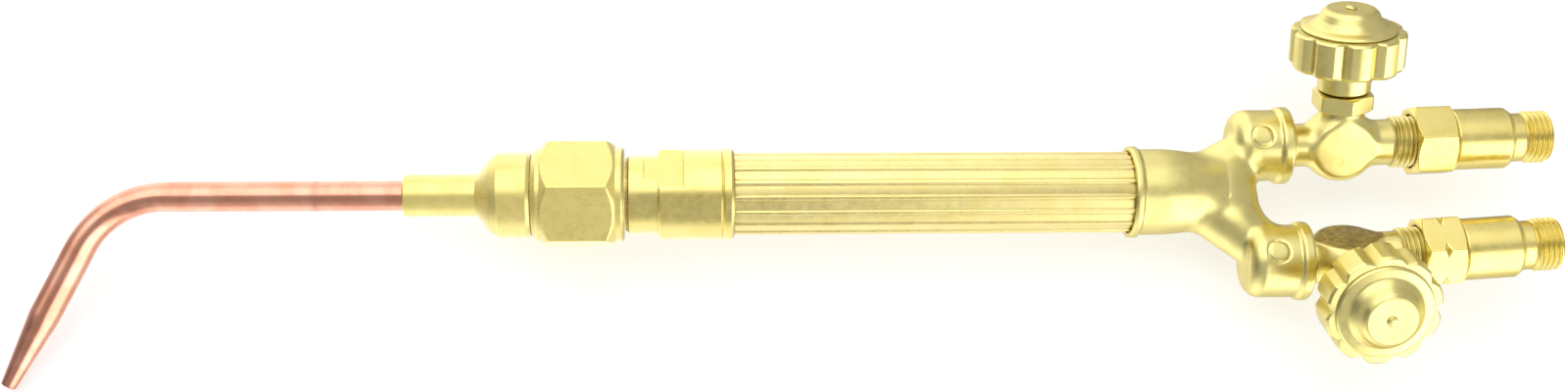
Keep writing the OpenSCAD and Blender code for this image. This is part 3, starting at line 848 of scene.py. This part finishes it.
def valve_body(name, side, line):
    """The forged ball, and the outlet with its union thread."""
    points, faces = surface(valve_field(side), (side["foot"] - 9, -9.5, -10.9),
                            (15, 9.5, 11.5), 0.36)
    node = f"{name}_valve_body"
    # Painted shade on the valve's flat, standing in for the dark reflection of the other valve that it faces
    flat_painted_shade = side["flat_painted_shade"] * step_up(points[:, 1], BALL_FLAT - 0.4, BALL_FLAT - 0.1)
    flat_painted_shade = flat_painted_shade * (np.hypot(points[:, 0], points[:, 2]) < BALL_R)
    add_mesh(f"{node}_forged", points, faces, line, "root", "forged_brass", [node], flat_painted_shade)
    cut = thread(THREAD_PITCH, 0.72, OUTLET_START, OUTLET_END + 0.2, side["hand"])
    spin(f"{node}_thread", rounded([
        (4.3, 13.2, 0.05), (BALL_FLAT, 13.2, 0.2), (6.4, OUTLET_START - 0.4, 0.2),
        (OUTLET_R, OUTLET_START, 0.2), (OUTLET_R - 0.05, OUTLET_END - 0.6, 0.2),
        (6.5, OUTLET_END, 0.1), (4.4, OUTLET_END, 0.2), (1.8, OUTLET_END - 2.6, 0.1),
        (1.8, 14.0, 0.1)], step=0.1), line, "root", "forged_brass", [node],
        shape=lambda a, x, r: np.where(r > 5.9, r - cut(a, x), r), angles=even_angles(120),
        stain_and_shade=lambda a, x, r: 0.75 * step_up(OUTLET_R - 0.05 - r, 0.25, 0.6) * (r > 5.5))


PACKING_ACROSS, PACKING_TURN, PACKING_BASE, PACKING_TOP = 14.4, radians(-32.3), 10.6, 15.6


def packing_nut(name, stem):
    """Small hexagonal nut round the stem, with its top corners rounded."""
    shape = hexagon(PACKING_ACROSS, PACKING_TURN)
    corner = PACKING_ACROSS / sqrt(3)
    spin(f"{name}_packing_nut_hex", rounded([
        (2.7, PACKING_BASE, 0.1), (6.9, PACKING_BASE, 0.1), (corner, PACKING_BASE + 0.6, 0.2),
        (corner, PACKING_TOP - 0.7, 0.2), (7.2, PACKING_TOP - 0.25, 0.3), (6.4, PACKING_TOP, 0.2),
        (2.7, PACKING_TOP, 0.1)], step=0.3), stem, "root", "forged_brass",
        [f"{name}_packing_nut"],
        shape=lambda a, x, r: np.minimum(r, np.where(r > 6, shape(a), 99)),
        angles=hex_angles(PACKING_TURN, 24),
        stain_and_shade=lambda a, x, r: 0.7 * near(x, PACKING_BASE, 0.5))


WHEEL_R, RING_R, LOBES, WHEEL_TURN = 15.2, 12.5, 10, radians(-14.6)
FIRST_GROOVE, GROOVE_HALF, GROOVE_DEPTH = WHEEL_TURN + pi / LOBES, 2.35, 1.45
HUB_BASE, WHEEL_HUB_R, STEM_R, RIVET_R = 15.9, 7.05, 2.45, 0.9
RIM_BASE, RIM_TOP, CAP_TOP, STEM_TOP = 22.9, 33.2, 38.9, 31.5


def wheel_shape(angle, station, radius):
    """Ten nearly flat lobes, with V grooves between that are creased at the bottom."""
    off = rim_offset(angle, FIRST_GROOVE, LOBES, WHEEL_R)
    vee = np.clip(1 - off / GROOVE_HALF, 0, 1)
    vee = vee + 0.10 * np.exp(-(off / 0.16) ** 2)
    from_middle = pi * WHEEL_R / LOBES - off
    crown = 0.10 * np.clip(1 - from_middle / 2.4, 0, 1) ** 2
    cut = GROOVE_DEPTH * vee - crown + 0.10
    part = 1 - np.maximum(cut, 0) / (WHEEL_R - RING_R)
    return np.where(radius > RING_R, RING_R + (radius - RING_R) * part, radius)


def groove_stain(angle, station, radius):
    """Dirt at the bottom of each groove, short of the rim's top."""
    off = rim_offset(angle, FIRST_GROOVE, LOBES, WHEEL_R)
    return 0.65 * near(off, 0, 0.4) * (station < RIM_TOP - 0.6) * (radius > 13)


wheel_angles = feature_angles(
    [0.1, 0.2, 0.35, 0.7, 1.2, 1.7, 2.15, 2.35, 2.5, 2.9, 3.4, 4.0], 4.6,
    FIRST_GROOVE, LOBES, WHEEL_R)


def handwheel(name, stem):
    """The lobed wheel on its hub, the pressed cap, and the rivet that holds the cap."""
    spin(f"{name}_handwheel_cast", rounded([
        (STEM_R, HUB_BASE, 0.1), (6.6, HUB_BASE, 0.2), (WHEEL_HUB_R, HUB_BASE + 0.5, 0.3),
        (WHEEL_HUB_R, RIM_BASE - 1.5, 1.6), (8.6, RIM_BASE + 1.7, 1.2),
        (11.6, RIM_BASE + 1.7, 0.8), (12.3, RIM_BASE, 0.5), (WHEEL_R - 0.7, RIM_BASE, 0.3),
        (WHEEL_R, RIM_BASE + 0.8, 0.4), (WHEEL_R, RIM_TOP - 0.7, 0.4),
        (WHEEL_R - 0.6, RIM_TOP - 0.1, 0.3), (RING_R, RIM_TOP, 0.1), (RIVET_R, RIM_TOP, 0.1),
        (RIVET_R, STEM_TOP + 0.1, 0.05), (STEM_R, STEM_TOP, 0.05)], step=0.35), stem,
        f"{name}_knob", "forged_brass", [f"{name}_handwheel"], shape=wheel_shape,
        angles=wheel_angles, stain_and_shade=groove_stain)
    spin(f"{name}_knob_cap_pressed", rounded([
        (1.0, CAP_TOP - 0.75, 0.05), (1.0, CAP_TOP, 0.05), (6.25, CAP_TOP, 0.1),
        (6.4, CAP_TOP - 0.1, 0.1), (6.6, CAP_TOP - 0.12, 0.1), (7.5, CAP_TOP - 0.95, 1.0),
        (8.4, RIM_TOP + 3.0, 2.5), (9.8, RIM_TOP + 1.35, 1.6), (12.2, RIM_TOP + 0.9, 0.6),
        (12.75, RIM_TOP + 0.4, 0.2), (12.65, RIM_TOP + 0.05, 0.1), (12.0, RIM_TOP + 0.12, 0.1),
        (9.4, RIM_TOP + 0.6, 1.2), (7.5, RIM_TOP + 2.5, 1.5), (6.5, CAP_TOP - 1.6, 0.8),
        (5.6, CAP_TOP - 0.75, 0.6)], step=0.4, arc=8), stem,
        f"{name}_knob", "forged_brass", [f"{name}_knob_cap"],
        stain_and_shade=lambda a, x, r: np.maximum(0.9 * near(r, 12.7, 0.3) * (x < RIM_TOP + 0.3),
                                         0.6 * near(r, 6.5, 0.3) * (x > CAP_TOP - 0.3)))
    spin(f"{name}_knob_rivet_head", rounded([
        (0.02, STEM_TOP + 0.55, 0), (0.88, STEM_TOP + 0.55, 0.1), (0.88, CAP_TOP - 0.02, 0.02),
        (1.5, CAP_TOP - 0.02, 0.1), (1.42, CAP_TOP + 0.4, 0.25), (0.8, CAP_TOP + 0.72, 0.3),
        (0.02, CAP_TOP + 0.8, 0)], step=0.3), stem, f"{name}_knob", "forged_brass",
        [f"{name}_knob_rivet"], angles=even_angles(48),
        stain_and_shade=lambda a, x, r: 0.8 * near(x, CAP_TOP, 0.25))


# ---------------------------------------------------------------- check valves
UNION_ACROSS, UNION_FRONT, UNION_MIDDLE, UNION_BACK = 17.9, 19.2, 24.7, 30.3
CHECK_R, CHECK_FRONT, CHECK_BACK, CHECK_BORE_R = 8.35, 30.42, 46.5, 6.32
HOSE_R, HOSE_START, HOSE_END, HOSE_BORE_R = 7.14, 50.3, 57.2, 2.8


def union_nut(name, side, line):
    """Hexagonal union nut; the fuel side's has a vee notch across each corner."""
    turn = side["union_turn"]
    shape = hexagon(UNION_ACROSS, turn)
    corner = UNION_ACROSS / sqrt(3)

    def notched(angle, station, radius):
        r = np.minimum(radius, np.where(radius > 7.9, shape(angle), 99))
        if side["hand"] < 0:
            depth = np.clip(0.95 - np.abs(station - UNION_MIDDLE), 0, 1)
            r = np.where(radius > 9, np.minimum(r, corner - depth), r)
        return r

    spin(f"{name}_union_nut_hex", rounded([
        (7.35, UNION_FRONT + 0.3, 0.1), (7.7, UNION_FRONT, 0.1), (8.6, UNION_FRONT, 0.2),
        (corner, UNION_FRONT + 1.0, 0.3), (corner, UNION_MIDDLE - 1.0, 0),
        (corner, UNION_MIDDLE, 0), (corner, UNION_MIDDLE + 1.0, 0),
        (corner, UNION_BACK - 0.8, 0.3), (8.6, UNION_BACK, 0.3), (4.75, UNION_BACK, 0.1),
        (4.75, 26.9, 0.1), (7.35, 26.9, 0.1)], step=0.22), line, f"{name}_union",
        "check_brass", [f"{name}_union_nut"], shape=notched, angles=hex_angles(turn, 30),
        stain_and_shade=lambda a, x, r: 0.5 * near(x, UNION_FRONT, 0.4) * (r < 8))


def check_valve(name, side, line):
    """Round body with its back edge rolled in, and the threaded hose inlet."""
    body = f"{name}_check"
    spin(f"{name}_check_body_turned", rounded([
        (4.42, CHECK_FRONT, 0.1), (CHECK_R - 0.4, CHECK_FRONT, 0.3), (CHECK_R, 31.0, 0.4),
        (CHECK_R, CHECK_BACK - 1.3, 0.5), (CHECK_R - 0.95, CHECK_BACK, 0.3),
        (CHECK_BORE_R, CHECK_BACK, 0.1), (CHECK_BORE_R, 33.4, 0.1), (4.42, 33.4, 0.1)],
        step=0.6), line, body, "check_brass", [f"{name}_check_body"])
    cut = thread(THREAD_PITCH, 0.78, HOSE_START, HOSE_END, side["hand"])
    spin(f"{name}_check_inlet_thread", rounded([
        (HOSE_BORE_R, CHECK_BACK - 1.4, 0.1), (6.3, CHECK_BACK - 1.4, 0.1),
        (6.3, CHECK_BACK - 0.1, 0.1), (6.65, CHECK_BACK + 0.1, 0.2), (6.65, 49.6, 0.5),
        (6.25, HOSE_START - 0.2, 0.2), (HOSE_R, HOSE_START + 0.4, 0.2),
        (HOSE_R, HOSE_END - 0.7, 0.2), (HOSE_R - 0.65, HOSE_END, 0.2), (4.8, HOSE_END, 0.15),
        (HOSE_BORE_R, HOSE_END - 2.4, 0.2)], step=0.1), line, body, "check_brass",
        [f"{name}_check_inlet"], shape=lambda a, x, r: np.where(r > 6.0, r - cut(a, x), r),
        angles=even_angles(120),
        stain_and_shade=lambda a, x, r: 0.3 * step_up(HOSE_R - r, 0.3, 0.7) * (r > 5.8) * (x > 50))


# The union nut has a corner this far from +Z towards -Y
UNION_TURN = radians(15.4)

for side_name, facts in SIDES.items():
    gas_line, stem_line = valve_frames(side_name)
    # The valve body's foot, along its gas line, just clears the end of the fork's arm
    facts["foot"] = facts["end"] - gas_line[0, 3] + 0.4
    corner_at = gas_line[:3, :3].T @ np.array([0, -sin(UNION_TURN), cos(UNION_TURN)])
    facts["union_turn"] = atan2(corner_at[1], corner_at[2])
    valve_body(side_name, facts, gas_line)
    packing_nut(side_name, stem_line)
    handwheel(side_name, stem_line)
    union_nut(side_name, facts, gas_line)
    check_valve(side_name, facts, gas_line)


# ---------------------------------------------------------------- stage and light
def add_floor():
    """A wide pale floor just under the lowest point."""
    level = cad_box[0][2] - 0.0005
    span = 3.0
    corners = [(-span, -span, level), (span, -span, level), (span, span, level),
               (-span, span, level)]
    mesh = bpy.data.meshes.new("floor")
    mesh.from_pydata(corners, [], [(0, 1, 2, 3)])
    floor = bpy.data.objects.new("floor", mesh)
    bpy.context.scene.collection.objects.link(floor)
    material, tree, shader = new_material("pale_floor")
    n = Nodes(tree)
    coords = n.add("ShaderNodeTexCoord").outputs["Object"]
    tone = n.ramp(n.noise(coords, 3.0, 2.0), 0.3, 0.7, 0.60, 0.62)
    n.set(shader.inputs["Base Color"], n.add("ShaderNodeCombineColor", Red=tone, Green=tone,
                                             Blue=tone).outputs[0])
    shader.inputs["Roughness"].default_value = 0.9
    shader.inputs["Specular IOR Level"].default_value = 0.1
    shader.inputs["Emission Color"].default_value = (1.0, 1.0, 1.0, 1)
    shader.inputs["Emission Strength"].default_value = 0.52
    mesh.materials.append(material)
    floor.visible_glossy = False


def add_world():
    """A white tent: light from above on the tip's side, from below on the hoses', and
    darker far beyond the tip."""
    upper_light, lower_light, corner_light, back_light, under_light = 1.45, 2.1, 0.4, 0.8, 0.40
    dimmest, hose_side_more, beyond_tip = 0.43, 0.10, 0.35
    world = bpy.data.worlds.new("tent")
    bpy.context.scene.world = world
    world.use_nodes = True
    tree = world.node_tree
    tree.nodes.clear()
    n = Nodes(tree)
    direction = n.add("ShaderNodeTexCoord").outputs["Generated"]

    def part_along(axis):
        """How far a direction leans along an axis, from -1 to 1."""
        node = tree.nodes.new("ShaderNodeVectorMath")
        node.operation = "DOT_PRODUCT"
        n.set(node.inputs[0], direction)
        node.inputs[1].default_value = tuple(axis)
        return node.outputs["Value"]

    x, u, v = part_along(right), part_along(up), part_along(toward)
    rise = n.math("SUBTRACT", u, n.math("MULTIPLY", 0.5, n.math("MAXIMUM", x, 0.0)))
    upper = n.math("MULTIPLY", n.ramp(rise, -0.05, 0.35), n.ramp(x, 0.42, 0.10))
    upper = n.math("MULTIPLY", upper, n.ramp(v, -0.05, 0.65, 0.20, 1.0))
    lower = n.math("MULTIPLY", n.ramp(u, -0.08, -0.36), n.ramp(x, 0.10, 0.40))
    lower = n.math("MULTIPLY", lower, n.ramp(v, -0.35, 0.25))
    beside = n.ramp(x, 0.36, 0.10)
    under = n.ramp(u, 0.15, -0.25, 0.0, under_light)
    more = n.math("MULTIPLY", beside, n.math("SUBTRACT", back_light, under))
    behind = n.math("ADD", under, more)
    behind = n.math("MULTIPLY", behind, n.ramp(v, 0.45, -0.20))
    corner = n.math("MULTIPLY", n.ramp(x, -0.05, -0.25), n.ramp(u, -0.5, -0.9))
    level = n.math("ADD", dimmest, n.ramp(x, 0.05, 0.35, 0.0, hose_side_more))
    level = n.math("ADD", level, n.math("MULTIPLY", upper, upper_light))
    level = n.math("ADD", level, n.math("MULTIPLY", lower, lower_light))
    level = n.math("ADD", level, behind)
    level = n.math("ADD", level, n.math("MULTIPLY", corner, corner_light))
    level = n.math("MULTIPLY", level, n.ramp(x, -0.6, -0.95, 1.0, beyond_tip))
    background = n.add("ShaderNodeBackground", Color=(1.0, 0.995, 0.98, 1), Strength=level)
    output = tree.nodes.new("ShaderNodeOutputWorld")
    tree.links.new(background.outputs[0], output.inputs[0])


def add_camera():
    """Long lens above the handle, looking slightly towards the hoses."""
    yaw, roll = radians(3.3), 0.005
    ahead, distance, low = 69.33, 512.3, 0.6
    place = distance * toward - ahead * right - low * up
    look = sin(yaw) * right - cos(yaw) * toward
    side = cos(yaw) * right + sin(yaw) * toward
    turned_side = cos(roll) * side - sin(roll) * up
    turned_up = cos(roll) * up + sin(roll) * side
    data = bpy.data.cameras.new("camera")
    data.sensor_width = 36.0
    data.lens = 43.875
    data.clip_start = 0.01
    camera = bpy.data.objects.new("camera", data)
    matrix = Matrix.Identity(4)
    for i in range(3):
        matrix[i][0], matrix[i][1] = turned_side[i], turned_up[i]
        matrix[i][2], matrix[i][3] = -look[i], place[i] * MM
    camera.matrix_world = matrix
    bpy.context.scene.collection.objects.link(camera)
    bpy.context.scene.camera = camera


add_floor()
add_world()
add_camera()
bpy.context.scene.view_settings.view_transform = "Standard"
